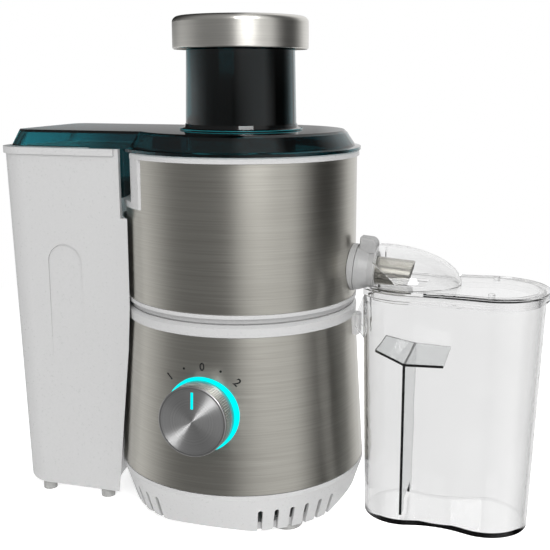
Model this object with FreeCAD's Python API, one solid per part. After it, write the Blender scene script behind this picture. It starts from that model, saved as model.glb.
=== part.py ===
import FreeCAD, Part
import math
import os

V = FreeCAD.Vector
UP = V(0, 0, 1)

# Centrifugal juicer, millimetres. The model is built round the spindle, with the table at z = 0,
# +X towards the spout and the jug, -X towards the pulp bin and -Y towards the control knob.
# At export everything moves so that the origin is the centre of the whole set's footprint.

# motor base
SKIRT_Z = 5.0            # lowest edge of the white skirt, above the table
SKIRT_LOW_R = 80.0
STEEL_Z = 34.0           # lower edge of the base's steel sleeve
STEEL_R = 88.1
STEEL_TOP_Z = 139.5
STEEL_TOP_R = 81.2
DECK_Z = 147.5           # top of the motor base, which the bowl stands on
DECK_R = 81.8
WALL = 2.4               # moulded wall
SHEET = 0.6              # steel sleeve
FOOT_R = 11.0
FOOT_CENTRE = 66.0
FOOT_ANGLES = (45, 135, 225, 315)
SCREW_ANGLES = (75, 165, 255, 345)
SCREW_CENTRE = 74.5
INLET_R = 7.5            # gland for the mains lead
INLET_Z = 23.0

# knob and light ring
KNOB_Z = 88.2
KNOB_R = 23.0
KNOB_DEPTH = 17.5        # face of the knob above the steel
RING_R = 24.8
RING_IN = 20.6

# juice bowl
BAND_Z = 151.7           # top of the grey band under the bowl
BOWL_Z = 154.3           # lower edge of the bowl's steel sleeve
BOWL_R = 80.9
BOWL_TOP_Z = 249.9
BOWL_TOP_R = 80.5
RIM_Z = 253.8
RIM_R = 82.0
BOWL_IN = 77.4
FLOOR_Z = 162.6          # bowl floor at the wall, where the juice leaves
CHIMNEY_R = 27.2
CHIMNEY_Z = 176.5
OUTLET_HALF = 57.5       # pulp outlet, half its width
OUTLET_Z = 221.0
LEDGE_Z = 235.0

# spout
SPOUT_X = 80.0
SPOUT_Z = 174.4
SPOUT_TILT = 4.5
STUB_R = 12.6
BUSH_R = 16.2
COLLAR_R = 14.6
NOZZLE_R = 9.5
NOZZLE_LONG = 38.6       # along its lower side; the upper side is 4 longer
RUNNING = 0.08           # radial clearance of a running fit

# sieve basket and drive
GRATER_Z = 182.0
GRATER_R = 47.0
SIEVE_LOW_R = 48.6
SIEVE_TOP_R = 66.5
SIEVE_TOP_Z = 235.5
BASKET_RIM_R = 75.0
SHAFT_R = 4.0
DOG_COUNT = 6

# lid, chute and pusher
LID_Z = 267.0
LID_TOP_R = 72.7
LID_SKIRT_R = 79.4
LID_FLANGE_R = 83.0
LID_WALL = 2.4
CHUTE_R = 38.3
CHUTE_TOP_R = 37.2
CHUTE_IN = 34.8
CHUTE_TOP_Z = 322.6
CHUTE_LOW_Z = 189.0
PUSHER_R = 34.3
PUSHER_LOW_Z = 196.0
CAP_R = 46.4
CAP_Z = 320.7
CAP_TOP_Z = 342.2

# pulp bin
BIN_X = 162.4            # far wall, from the spindle
BIN_HALF = 54.0
BIN_TOP_Z = 255.4
BIN_Z = 7.0
BIN_DRAFT = 5.8          # how far the far wall leans in towards the bottom
BIN_SIDE_DRAFT = 2.1     # the same for each side wall
BIN_NEAR = [(93.4, -1), (93.2, 7), (84.4, 117), (83.0, 148), (83.0, 246), (83.7, 252), (83.7, 300)]
BIN_NOTCH_Z = 209.0      # above this the bin's near side is open for the pulp

# juice jug
JUG_X1 = 120.0           # centres of the jug's two lobes
JUG_X2 = 176.5
JUG_R1 = 27.0
JUG_R2 = 29.5
JUG_WAIST = 62.0         # radius of the waist between the lobes, at the bottom
JUG_TOP_WAIST = 260.0
JUG_GROW = 4.3           # how much wider it is at the rim
JUG_WALL = 2.2
JUG_Z = 163.5
RIM_OUT = 2.2
HOOD_X = 99.0            # open end of the hood, towards the bowl
HOOD_LONG = 56.0
HOOD_HIGH = 25.0
HOOD_HALF = 35.0

KNOB_FRONT = 103.5       # lower edge of the knob's face, from the spindle
INLET_BACK = 93.0
FOOTPRINT_X = (-BIN_X - 1.6, JUG_X2 + JUG_R2 + JUG_GROW + RIM_OUT + 0.2)
FOOTPRINT_Y = (-KNOB_FRONT, INLET_BACK)


def turned(points):
    """A solid turned about the spindle from a closed (radius, height) outline."""
    loop = [V(r, 0, z) for r, z in points + points[:1]]
    return Part.Face(Part.makePolygon(loop)).revolve(V(0, 0, 0), UP, 360)


def disc(r, z0, z1, x=0.0, y=0.0):
    return Part.makeCylinder(r, z1 - z0, V(x, y, z0))


def tube(r_out, r_in, z0, z1, x=0.0, y=0.0):
    return disc(r_out, z0, z1, x, y).cut(disc(r_in, z0 - 1, z1 + 1, x, y))


def cone(r0, r1, z0, z1):
    return Part.makeCone(r0, r1, z1 - z0, V(0, 0, z0))


def block(x0, x1, y0, y1, z0, z1):
    return Part.makeBox(x1 - x0, y1 - y0, z1 - z0, V(x0, y0, z0))


def fused(shapes):
    return shapes[0].multiFuse(shapes[1:]).removeSplitter()


def spun(shape, angle):
    copy = shape.copy()
    copy.rotate(V(0, 0, 0), UP, angle)
    return copy


def around(shape, count, start=0.0):
    return [spun(shape, start + k * 360.0 / count) for k in range(count)]


def rounded(shape, radius, pick):
    """Fillets the edges whose centre of mass the test accepts."""
    return shape.makeFillet(radius, [e for e in shape.Edges if pick(e)])


def level(z, size=0.01):
    return lambda e: abs(e.BoundBox.ZMin - z) < size and abs(e.BoundBox.ZMax - z) < size


def base_radius(z):
    return STEEL_R + (STEEL_TOP_R - STEEL_R) * (z - STEEL_Z) / (STEEL_TOP_Z - STEEL_Z)


CONE_ANGLE = math.degrees(math.atan((STEEL_R - STEEL_TOP_R) / (STEEL_TOP_Z - STEEL_Z)))


def on_knob(shape):
    """Turns local +Z square out of the steel at the knob, local +Y upwards."""
    placed = shape.copy()
    placed.rotate(V(0, 0, 0), V(1, 0, 0), 90 - CONE_ANGLE)
    placed.translate(V(0, -base_radius(KNOB_Z), KNOB_Z))
    return placed


def on_spout(shape):
    """Turns local +Z along the spout, outwards; local -X is up."""
    placed = shape.copy()
    placed.rotate(V(0, 0, 0), V(0, 1, 0), 90 + SPOUT_TILT)
    placed.translate(V(SPOUT_X, 0, SPOUT_Z))
    return placed


# ---- motor base -----------------------------------------------------------------------------

def base_housing():
    """Moulded shell under the steel: cone, top ring, deck and the boss round the shaft."""
    gap = SHEET + 0.15
    low, top = STEEL_R - gap, STEEL_TOP_R - gap
    shell = turned([
        (low, STEEL_Z + 0.4), (top, STEEL_TOP_Z), (DECK_R, STEEL_TOP_Z + 0.1), (DECK_R, DECK_Z - 2),
        (DECK_R - 2, DECK_Z), (22, DECK_Z), (20, 157), (7.5, 157), (7.5, 157 - WALL),
        (18, 157 - WALL), (20, DECK_Z - WALL), (top - WALL, DECK_Z - WALL),
        (top - WALL, STEEL_TOP_Z - 3), (low - WALL, STEEL_Z + 0.4),
    ])
    shell = shell.cut(on_knob(disc(RING_R + 0.1, -14, 6)))
    posts = [disc(5, 129.4, DECK_Z - WALL + 0.2, 52 * math.cos(a), 52 * math.sin(a)) for a in mount_angles()]
    ribs = around(block(30, 77, -0.9, 0.9, DECK_Z - WALL - 6, DECK_Z - WALL + 0.2), 12, 15)
    lugs = [spun(block(70, 84.6, -4, 4, STEEL_Z + 2.2, STEEL_Z + 20), a) for a in SCREW_ANGLES]
    holes = [disc(1.7, STEEL_Z, STEEL_Z + 12, *polar(SCREW_CENTRE, a)) for a in SCREW_ANGLES]
    return fused([shell] + posts + ribs + lugs).cut(Part.makeCompound(holes))


def mount_angles():
    return [math.radians(a) for a in FOOT_ANGLES]


def base_cladding():
    """Brushed sleeve rolled from thin sheet, with the round opening for the light ring."""
    outer = cone(STEEL_R, STEEL_TOP_R, STEEL_Z + 0.4, STEEL_TOP_Z - 0.2)
    inner = cone(STEEL_R - SHEET, STEEL_TOP_R - SHEET, STEEL_Z + 0.4, STEEL_TOP_Z - 0.2)
    return outer.cut(inner).cut(on_knob(disc(RING_R + 0.1, -14, 6)))


def vent_slot(z0, z1):
    half = 1.6
    slot = block(60, 95, -half, half, z0, z1)
    arch = Part.makeCylinder(half, 35, V(60, 0, z1), V(1, 0, 0))
    return slot.fuse(arch)


def base_skirt():
    """White skirt and floor: scalloped between the feet, with arched vents over each foot."""
    flare = STEEL_R + 0.3
    outer = turned([(0, SKIRT_Z), (SKIRT_LOW_R, SKIRT_Z), (SKIRT_LOW_R + 2.6, SKIRT_Z + 8),
                    (flare - 2.4, STEEL_Z - 10), (flare, STEEL_Z - 3), (flare, STEEL_Z), (0, STEEL_Z)])
    inner = turned([(0, SKIRT_Z + 5), (SKIRT_LOW_R - 2.2, SKIRT_Z + 5), (SKIRT_LOW_R, SKIRT_Z + 8),
                    (flare - 5, STEEL_Z - 10), (flare - 2.6, STEEL_Z - 3), (flare - 2.6, STEEL_Z + 1),
                    (0, STEEL_Z + 1)])
    below = turned([(0, SKIRT_Z - 1), (SKIRT_LOW_R - 2.6, SKIRT_Z - 1),
                    (SKIRT_LOW_R - 2.6, SKIRT_Z + 2.6), (0, SKIRT_Z + 2.6)])
    skirt = outer.cut(inner).cut(below)
    core = disc(SKIRT_LOW_R - 2.8, 0, STEEL_Z)
    for angle, half, rise in ((0, 34, 9), (90, 30, 3), (180, 34, 9), (270, 30, 3)):
        radius = (half * half + rise * rise) / (2 * rise)
        arch = Part.makeCylinder(radius, 60, V(55, 0, SKIRT_Z + rise - radius), V(1, 0, 0))
        skirt = skirt.cut(spun(arch.cut(core), angle))
    slots = []
    for foot in FOOT_ANGLES:
        for k in range(6):
            slots.append(spun(vent_slot(SKIRT_Z - 1, SKIRT_Z + 15), foot - 19 + 7.6 * k))
    skirt = skirt.cut(Part.makeCompound([s.common(tube(95, SKIRT_LOW_R - 2.5, SKIRT_Z - 1,
                                                       32)) for s in slots]))
    sockets = [disc(FOOT_R + 2, SKIRT_Z + 2.6, SKIRT_Z + 6, *foot_place(a)) for a in FOOT_ANGLES]
    bosses = [disc(4.4, SKIRT_Z + 4, STEEL_Z + 2, *polar(SCREW_CENTRE, a)) for a in SCREW_ANGLES]
    gaps = around(block(26, 46, -1.5, 1.5, SKIRT_Z, SKIRT_Z + 8), 16)
    gaps.append(Part.makeCylinder(INLET_R, 20, V(0, 76, INLET_Z), V(0, 1, 0)))
    skirt = fused([skirt.cut(Part.makeCompound(gaps))] + sockets + bosses)
    holes = [disc(1.7, SKIRT_Z, STEEL_Z + 3, *polar(SCREW_CENTRE, a)) for a in SCREW_ANGLES]
    recesses = [disc(3.5, SKIRT_Z, SKIRT_Z + 8, *polar(SCREW_CENTRE, a)) for a in SCREW_ANGLES]
    return skirt.cut(Part.makeCompound(holes + recesses))


def polar(r, angle):
    return r * math.cos(math.radians(angle)), r * math.sin(math.radians(angle))


def foot_place(angle):
    return polar(FOOT_CENTRE, angle)


def rubber_feet():
    feet = []
    for angle in FOOT_ANGLES:
        x, y = foot_place(angle)
        pad = rounded(disc(FOOT_R, 0, SKIRT_Z + 2.6, x, y), 1.2, level(0))
        feet.append(pad)
    return Part.makeCompound(feet)


def base_screws():
    screws = []
    for angle in SCREW_ANGLES:
        x, y = polar(SCREW_CENTRE, angle)
        slot = block(x - 2.4, x + 2.4, y - 0.4, y + 0.4, 0, SKIRT_Z + 6.6)
        head = disc(3.4, SKIRT_Z + 5.6, SKIRT_Z + 8, x, y).cut(slot)
        screws.append(head.fuse(disc(1.65, SKIRT_Z + 8, STEEL_Z + 10, x, y)))
    return Part.makeCompound(screws)


def jug_catch():
    """Small tongue on the base that the jug's ears sit round."""
    tongue = block(79.0, 87.0, -4.5, 4.5, 127, 142)
    tongue = rounded(tongue, 2.0, lambda e: e.BoundBox.XMin > 86.9)
    tongue = tongue.cut(cone(base_radius(120), base_radius(145), 120, 145))
    return tongue.cut(disc(DECK_R, STEEL_TOP_Z, DECK_Z))


def cord_inlet():
    """Ribbed gland in the skirt's back, where the mains lead enters."""
    body = Part.makeCylinder(INLET_R, 13, V(0, INLET_BACK - 13, INLET_Z), V(0, 1, 0))
    collar = Part.makeCylinder(INLET_R + 2, 2.2, V(0, 88.5, INLET_Z), V(0, 1, 0))
    return fused([body, collar]).cut(Part.makeCylinder(3.6, 30, V(0, 70, INLET_Z), V(0, 1, 0)))


# ---- motor ----------------------------------------------------------------------------------

STACK_Z = (60.0, 100.0)
ROTOR_R = 21.5


def motor_stator():
    """Laminated two-pole field stack."""
    stack = block(-38, 38, -34, 34, *STACK_Z)
    stack = rounded(stack, 9, lambda e: e.BoundBox.ZLength > 30)
    bore = disc(ROTOR_R + 0.6, STACK_Z[0] - 1, STACK_Z[1] + 1)
    windows = []
    for side in (0, 180):
        for left in (-26, 10):
            windows.append(spun(block(left, left + 16, 24.5, 29.5, STACK_Z[0] - 1, STACK_Z[1] + 1), side))
        for left in (-26, 19):
            windows.append(spun(block(left, left + 7, 9, 29.5, STACK_Z[0] - 1, STACK_Z[1] + 1), side))
    return stack.cut(bore).cut(Part.makeCompound(windows))


def field_coils():
    """Two enamelled-wire coils that stand out of both ends of the stack."""
    coils = []
    for side in (0, 180):
        coil = block(-25.4, 25.4, 25.2, 28.8, 51, 108.4)
        coil = rounded(coil, 5, lambda e: e.BoundBox.YLength > 3)
        neck = block(-10.6, 10.6, 20, 32, STACK_Z[0] - 0.4, STACK_Z[1] + 0.4)
        coils.append(spun(coil.cut(neck), side))
    return Part.makeCompound(coils)


def bridge(z0, z1, hub_z):
    """Motor end bridge: a ring for the bearing on two arms, with a mounting plate."""
    arms = block(-46, 46, -9, 9, z0, z1)
    cross = block(-9, 9, -46, 46, z0, z1)
    return fused([arms, cross, disc(16, min(z0, hub_z), max(z1, hub_z + 8))])


def motor_bracket_upper():
    plate = bridge(120, 123.4, 114)
    pads = [disc(8, 120, 123.4, 52 * math.cos(a), 52 * math.sin(a)) for a in mount_angles()]
    spokes = [spun(block(8, 50, -4, 4, 120, 123.4), a) for a in FOOT_ANGLES]
    posts = [disc(4, STACK_Z[1], 120.2, x, y) for x in (-32, 32) for y in (-28, 28)]
    ties = [block(-36, 36, y - 4, y + 4, 120, 123.4) for y in (-28, 28)]
    plate = fused([plate] + pads + spokes + ties + posts)
    holes = [disc(2.6, 110, 126, 52 * math.cos(a), 52 * math.sin(a)) for a in mount_angles()]
    return plate.cut(Part.makeCompound([disc(11, 100, 130)] + holes))


def motor_bracket_lower():
    plate = fused([block(-36, 36, -32, 32, 36, 39).common(disc(44, 30, 45)), disc(16, 30, 39)])
    posts = [disc(4, 38.8, STACK_Z[0], x, y) for x in (-32, 32) for y in (-28, 28)]
    slots = [block(-30, -18, -22, 22, 30, 45), block(18, 30, -22, 22, 30, 45)]
    shell = fused([plate.common(disc(60, 20, 45))] + posts)
    return shell.cut(Part.makeCompound(slots + [disc(9.5, 20, 60)]))


def motor_mounts():
    return Part.makeCompound([
        tube(7, 2.6, 123.4, 129.4, 52 * math.cos(a), 52 * math.sin(a)) for a in mount_angles()])


def bearing_upper():
    return tube(11, SHAFT_R, 114, 121)


def bearing_lower():
    return tube(9.5, SHAFT_R, 30, 37)


def brush_holders():
    holders = []
    for side in (0, 180):
        holder = block(15.2, 33, -4.2, 4.2, 43.5, 53).cut(block(14, 31.5, -2.9, 2.9, 45.4, 51.2))
        foot = block(26, 31, -4.2, 4.2, 39, 43.6)
        holders.append(spun(holder.fuse(foot), side))
    return Part.makeCompound(holders)


def carbon_brushes():
    return Part.makeCompound([spun(block(12.9, 27, -2.7, 2.7, 45.6, 51.0), a) for a in (0, 180)])


def motor_shaft():
    return rounded(disc(SHAFT_R - RUNNING, 28, 174), 0.8, lambda e: e.BoundBox.ZLength < 0.1)


def armature_core():
    core = tube(ROTOR_R, SHAFT_R - RUNNING, STACK_Z[0] - 1, STACK_Z[1] + 1)
    slots = around(block(12, 30, -1.4, 1.4, 0, 200), 12)
    return core.cut(Part.makeCompound(slots))


def armature_windings():
    """Copper in the slots and the end turns above and below the core."""
    slots = [s.common(disc(19.6, 59, 101)) for s in around(block(12.1, 30, -1.3, 1.3, 59, 101), 12)]
    low = turned([(7, 57.4), (18, 57.4), (19.6, 59), (7, 59)])
    high = turned([(7, 101), (19.6, 101), (19.4, 104), (15, 109), (7, 109)])
    return fused([low, high] + slots)


def commutator():
    body = tube(12.8, SHAFT_R - RUNNING, 42.5, 56)
    return body.cut(Part.makeCompound(around(block(12.1, 14, -0.2, 0.2, 42, 57), 24)))


def cooling_fan():
    hub = tube(9, SHAFT_R - RUNNING, 109.4, 113.2)
    plate = tube(34, 8, 112, 113.2)
    blade = block(10, 33.5, -0.6, 0.6, 109.4, 112.4)
    return fused([hub, plate] + around(blade, 11))


def drive_coupling():
    """Six-dog drive moulded on to the shaft's end; it carries the sieve basket."""
    body = disc(11.5, 159, 173)
    dogs = around(block(9, 14.4, -1.8, 1.8, 161, 173), DOG_COUNT)
    flange = disc(16.5, 159, 161)
    return fused([body, flange] + dogs).cut(disc(SHAFT_R - RUNNING, 150, 180))


def shaft_seal():
    return turned([(7.4, 154.6), (12, 154.6), (12, 153), (4.9, 153), (4.3, 151.4), (4.1, 151.6),
                   (4.6, 154.6), (4.1, 157.8), (7.4, 157.8)])


# ---- knob, ring light and electrics ----------------------------------------------------------

def light_ring():
    ring = tube(RING_R, RING_IN, -9.5, 1.2)
    return on_knob(rounded(ring, 0.5, lambda e: e.BoundBox.ZMin > 1.1 and e.BoundBox.XLength > 45))


def knob_body():
    """Turned grip with fine flutes, hollow underneath, on the switch's spindle."""
    grip = disc(KNOB_R, 1.8, KNOB_DEPTH)
    grip = rounded(grip, 0.9, lambda e: e.BoundBox.ZMin > KNOB_DEPTH - 0.1)
    flutes = around(disc(0.45, 6.2, KNOB_DEPTH - 1.2, KNOB_R + 0.12), 96)
    grip = grip.cut(Part.makeCompound(flutes))
    grip = grip.cut(disc(KNOB_R - 2.2, 0, KNOB_DEPTH - 4)).cut(disc(KNOB_R - 1.6, KNOB_DEPTH - 0.8, 30))
    hub = disc(6, 0.8, KNOB_DEPTH - 2)
    slot = block(-0.9, 0.9, 8.2, 19.2, KNOB_DEPTH - 2.2, KNOB_DEPTH + 1)
    return on_knob(fused([grip, hub]).cut(disc(3.05, -2, 11)).cut(slot))


def knob_face():
    plate = disc(KNOB_R - 1.65, KNOB_DEPTH - 0.8, KNOB_DEPTH)
    return on_knob(plate.cut(block(-0.9, 0.9, 8.2, 19.2, 0, 30)))


def knob_pointer():
    bar = block(-0.85, 0.85, 8.25, 19.15, KNOB_DEPTH - 2.2, KNOB_DEPTH + 0.05)
    return on_knob(bar)


def switch_spindle():
    return on_knob(disc(3.0, -16, 10.8).cut(block(1.6, 4, -4, 4, 0, 12)))


def rotary_switch():
    case = block(-14, 14, -14, 14, -28, -12)
    neck = disc(5.5, -12, -4)
    tabs = [block(x - 2.5, x + 2.5, -0.4, 0.4, -34, -28) for x in (-8, 0, 8)]
    return on_knob(fused([case, neck] + tabs).cut(disc(3.0 + RUNNING, -18, 0)))


def led_board():
    """Ring-shaped board behind the light ring, with eight small lamps."""
    board = tube(RING_R - 0.2, 6.2, -11.6, -10.2)
    lamps = [block(22.4, 24.4, -1.1, 1.1, -10.2, -9.6)]
    return on_knob(fused([board] + around(lamps[0], 8)))


def control_board():
    board = block(-30, 30, 62.0, 63.6, 60, 104)
    chips = [block(-24, -10, 58, 62.1, 66, 80), block(4, 26, 50, 62.1, 84, 98), block(-6, 2, 60, 62.1, 90, 98)]
    can = Part.makeCylinder(6, 14, V(14, 62.1, 72), V(0, -1, 0))
    legs = [block(x, x + 4, 63.6, 75.4, 100, 103) for x in (-26, 22)]
    return fused([board, can] + chips + legs)


def terminal_block():
    case = block(-12, 12, 56, 68, 12, 24)
    wells = [disc(2.2, 18, 26, x, 62) for x in (-7, 0, 7)]
    return case.cut(Part.makeCompound(wells))


def interlock_switch():
    """Safety switch under the deck that the bowl presses through a pin."""
    case = block(58, 66, -8, 12, 116, 128)
    lever = block(60, 64, -7, 9, 128.8, 129.4).fuse(block(60, 64, 7.6, 9, 128, 129.2))
    arm = block(58, 66, 9.6, 12, 127, DECK_Z - WALL)
    return fused([case, lever.fuse(block(61, 63, -1, 1, 127.9, 129)), arm])


def interlock_pin():
    return disc(2.0, 129.4, DECK_Z - WALL, 62, 0).fuse(disc(3.5, 138, 140, 62, 0))


# ---- juice bowl and spout --------------------------------------------------------------------

RAMP_HALF = 46.9


def outlet_region(half, z0, z1, r_out):
    wedge = block(-r_out - 20, -40, -half, half, z0, z1)
    return wedge.common(disc(r_out, z0, z1))


def bowl_shell():
    """White bowl: wall, sloped floor, chimney, rim, pulp ledge, outlet frame and spout stub."""
    gap = SHEET + 0.15
    low, top = BOWL_R - gap, BOWL_TOP_R - gap
    wall = turned([
        (79.0, BAND_Z), (81.5, BAND_Z), (81.5, BOWL_Z - 0.2), (low, BOWL_Z), (top, BOWL_TOP_Z),
        (RIM_R, BOWL_TOP_Z + 0.1), (RIM_R, RIM_Z - 0.8), (RIM_R - 0.8, RIM_Z), (BOWL_IN, RIM_Z),
        (BOWL_IN, LEDGE_Z), (BOWL_IN - 1.2, LEDGE_Z), (BOWL_IN - 1.2, LEDGE_Z - 1.6),
        (BOWL_IN, LEDGE_Z - 3), (BOWL_IN, FLOOR_Z), (CHIMNEY_R, FLOOR_Z + 5),
        (CHIMNEY_R, CHIMNEY_Z), (CHIMNEY_R - 2, CHIMNEY_Z), (CHIMNEY_R - 2, FLOOR_Z + 2.8),
        (77.4, FLOOR_Z - 2.2), (77.4, BAND_Z - 2), (79.0, BAND_Z - 2),
    ])
    frame = outlet_region(OUTLET_HALF + 7.6, OUTLET_Z - 4, BOWL_TOP_Z + 0.1, BOWL_R + 0.9)
    frame = frame.cut(disc(BOWL_IN, 0, 300))
    ramp = ramp_plate()
    stub = on_spout(disc(STUB_R, -6, 14.5)).cut(disc(BOWL_IN, 150, 200))
    ribs = [r.cut(disc(CHIMNEY_R - 1, 0, 300)) for r in around(block(24, 78, -0.8, 0.8, BAND_Z - 1,
                                                                     FLOOR_Z - 1), 8, 22.5)]
    body = fused([wall, frame, stub] + ribs)
    mouth = block(-100, -50, -OUTLET_HALF, OUTLET_HALF, OUTLET_Z, RIM_Z + 1)
    bore = on_spout(disc(NOZZLE_R + 0.05, -12, 16).fuse(disc(11.3, 9.1, 11.0)))
    return fused([body.cut(mouth).cut(bore), ramp])


def ramp_plate():
    """Sloped lip that throws the pulp down into the bin."""
    points = [(-73.6, LEDGE_Z), (-87, OUTLET_Z + 2), (-87, OUTLET_Z), (-78.5, OUTLET_Z - 1),
              (-73.6, LEDGE_Z - 3)]
    loop = [V(x, -RAMP_HALF, z) for x, z in points + points[:1]]
    plate = Part.Face(Part.makePolygon(loop)).extrude(V(0, 2 * RAMP_HALF, 0))
    plate = plate.cut(disc(BOWL_IN - 1.2, 0, 300))
    bend = disc(BOWL_R + 6, OUTLET_Z - 2, LEDGE_Z + 1)
    return plate.common(bend)


def bowl_cladding():
    """Brushed sleeve of the bowl, open behind for the pulp outlet and holed for the spout."""
    outer = cone(BOWL_R, BOWL_TOP_R, BOWL_Z, BOWL_TOP_Z)
    inner = cone(BOWL_R - SHEET, BOWL_TOP_R - SHEET, BOWL_Z, BOWL_TOP_Z)
    sleeve = outer.cut(inner)
    sleeve = sleeve.cut(block(-100, -40, -OUTLET_HALF - 7.7, OUTLET_HALF + 7.7, OUTLET_Z - 4.1, 300))
    return sleeve.cut(on_spout(disc(STUB_R + 0.1, -10, 20)))


def bowl_band():
    """Grey locking ring between the bowl and the deck."""
    return turned([(70, DECK_Z), (78.6, DECK_Z), (79.6, DECK_Z + 1), (79.6, BAND_Z - 0.4), (79.05, BAND_Z),
                   (79.05, BAND_Z - 2.05), (77.2, BAND_Z - 2.05), (77.2, DECK_Z + 2), (70, DECK_Z + 2)])


def spout_bush():
    """Fixed grey bush, shaped to the bowl, that the collar turns against."""
    ring = on_spout(tube(BUSH_R, STUB_R + 0.02, -8, 3.4))
    return ring.cut(disc(BOWL_R + 0.05, 100, 260))


def spout_collar():
    """Turning anti-drip collar with its thumb tab; it runs on the stub."""
    points = [(STUB_R + RUNNING, 3.7), (BUSH_R - 0.7, 3.7), (BUSH_R - 1.0, 6.4), (COLLAR_R - 1.6, 12.4),
              (COLLAR_R - 0.9, 16.4), (COLLAR_R - 2, 17.6), (NOZZLE_R + 0.35, 17.6),
              (NOZZLE_R + 0.35, 14.9), (STUB_R + RUNNING, 14.9)]
    body = turned(points)
    tab = block(-22.0, -11.2, -6.2, 6.2, 4.8, 16.6)
    tab = rounded(tab, 5, lambda e: e.BoundBox.XMax < -21.9 and e.BoundBox.ZMin > 16.5)
    tab = rounded(tab, 1.2, lambda e: e.BoundBox.YLength < 0.1 and e.CenterOfMass.x < -12)
    tab = tab.cut(disc(STUB_R + 1, 0, 30))
    return on_spout(fused([body, tab]))


def spout_nozzle():
    """Steel spout tube, cut slanting so that its mouth looks down."""
    pipe = tube(NOZZLE_R, NOZZLE_R - 0.8, 0, NOZZLE_LONG + 12)
    knife = block(-40, 40, -30, 30, 0, 60)
    knife.rotate(V(0, 0, 0), V(0, 1, 0), 11.9)
    knife.translate(V(NOZZLE_R, 0, NOZZLE_LONG))
    return on_spout(pipe.cut(knife))


def spout_seal():
    ring = Part.makeTorus(NOZZLE_R + 0.9, 0.85)
    ring.translate(V(0, 0, 10.05))
    return on_spout(ring)


# ---- sieve basket ---------------------------------------------------------------------------

def basket_hub():
    """Moulded hub: disc, labyrinth skirt and the socket for the six dogs."""
    web = disc(SIEVE_LOW_R - 0.1, GRATER_Z - 2.6, GRATER_Z)
    skirt = tube(32, 30, 171.5, GRATER_Z - 2.4)
    socket = disc(19, 161.6, GRATER_Z - 2)
    body = fused([web, skirt, socket])
    cavity = disc(11.7, 160, 173.2)
    slots = around(block(8, 14.6, -2.0, 2.0, 160, 173.2), DOG_COUNT)
    return body.cut(Part.makeCompound([disc(SHAFT_R + 0.2, 150, 190)])).cut(fused([cavity] + slots))


def filter_mesh():
    """Steel sieve: a thin cone with rows of slots."""
    r0, r1 = SIEVE_LOW_R, SIEVE_TOP_R
    z0, z1 = GRATER_Z - 2.6, SIEVE_TOP_Z
    shell = cone(r0 + 0.6, r1 + 0.6, z0, z1).cut(cone(r0, r1, z0, z1))
    cutters = []
    for row in range(4):
        low = GRATER_Z + 6 + row * 12
        bar = block(40, 80, -0.9, 0.9, low, low + 8)
        cutters += around(bar, 36, 5.0 * (row % 2))
    return shell.cut(Part.makeCompound(cutters))


def basket_rim():
    """Moulded rim that runs over the bowl's pulp ledge, with six ribs down the sieve."""
    r1 = SIEVE_TOP_R
    rim = turned([(r1 + 0.62, SIEVE_TOP_Z - 6), (r1 + 2.4, SIEVE_TOP_Z - 6), (r1 + 3, SIEVE_TOP_Z + 1),
                  (BASKET_RIM_R - 1, SIEVE_TOP_Z + 1.6), (BASKET_RIM_R, SIEVE_TOP_Z + 3.4),
                  (r1 + 1, SIEVE_TOP_Z + 3.4), (r1 - 0.6, SIEVE_TOP_Z + 1.5), (r1 - 0.6, SIEVE_TOP_Z),
                  (r1 + 0.62, SIEVE_TOP_Z)])
    z0 = GRATER_Z - 2.6
    sheath = cone(SIEVE_LOW_R + 2.2, r1 + 2.2, z0, SIEVE_TOP_Z)
    inner = cone(SIEVE_LOW_R + 0.62, r1 + 0.62, z0, SIEVE_TOP_Z)
    slices = Part.makeCompound(around(block(30, 90, -1.2, 1.2, z0, SIEVE_TOP_Z), 6, 30))
    ribs = sheath.cut(inner).common(slices)
    foot = sheath.cut(inner).common(disc(90, z0, z0 + 5))
    return fused([rim, foot] + ribs.Solids)


def grater_disc():
    """Steel disc with rows of raised teeth that shred the fruit."""
    plate = tube(GRATER_R, 6, GRATER_Z, GRATER_Z + 0.8)
    teeth = []
    for ring, count in ((14, 10), (20, 14), (26, 18), (32, 22), (38, 26), (43.5, 30)):
        loop = [V(ring, y, GRATER_Z + z) for y, z in ((-1.6, 0.7), (1.1, 0.7), (1.1, 2.2), (-1.6, 0.7))]
        tooth = Part.Face(Part.makePolygon(loop)).extrude(V(1.5, 0, 0))
        teeth += around(tooth, count, 7.0 * ring)
    return fused([plate] + teeth)


def clamp_nut():
    nut = rounded(disc(9, GRATER_Z + 0.8, GRATER_Z + 5), 1.2, level(GRATER_Z + 5))
    slot = block(-12, 12, -1, 1, GRATER_Z + 3.6, GRATER_Z + 6)
    stem = disc(5.9, GRATER_Z, GRATER_Z + 0.8)
    return fused([nut, stem]).cut(slot)


# ---- lid and pusher -------------------------------------------------------------------------

def slab_outline(x0, x1, half, radius, z):
    """Rounded oblong, as one closed wire."""
    corners = [(x0, -half), (x1, -half), (x1, half), (x0, half)]
    base = Part.makePolygon([V(x, y, z) for x, y in corners + corners[:1]])
    face = Part.Face(base)
    solid = face.extrude(V(0, 0, 1))
    solid = solid.makeFillet(radius,
                             [e for e in solid.Edges if e.BoundBox.ZLength > 0.9 and e.BoundBox.XMin < x0 + 1])
    lowest = min(solid.Faces, key=lambda f: f.CenterOfMass.z)
    return lowest.OuterWire


def hood_block(grow, z_low, z_high):
    """The lid's tapered arm over the bin, grown outwards by a margin."""
    low = slab_outline(-156.5 - grow, -30, 50.5 + grow, 14 + grow, z_low)
    high = slab_outline(-150.5 - grow, -30, 46.0 + grow, 10 + grow, z_high)
    return Part.makeLoft([low, high], True, True)


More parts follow.
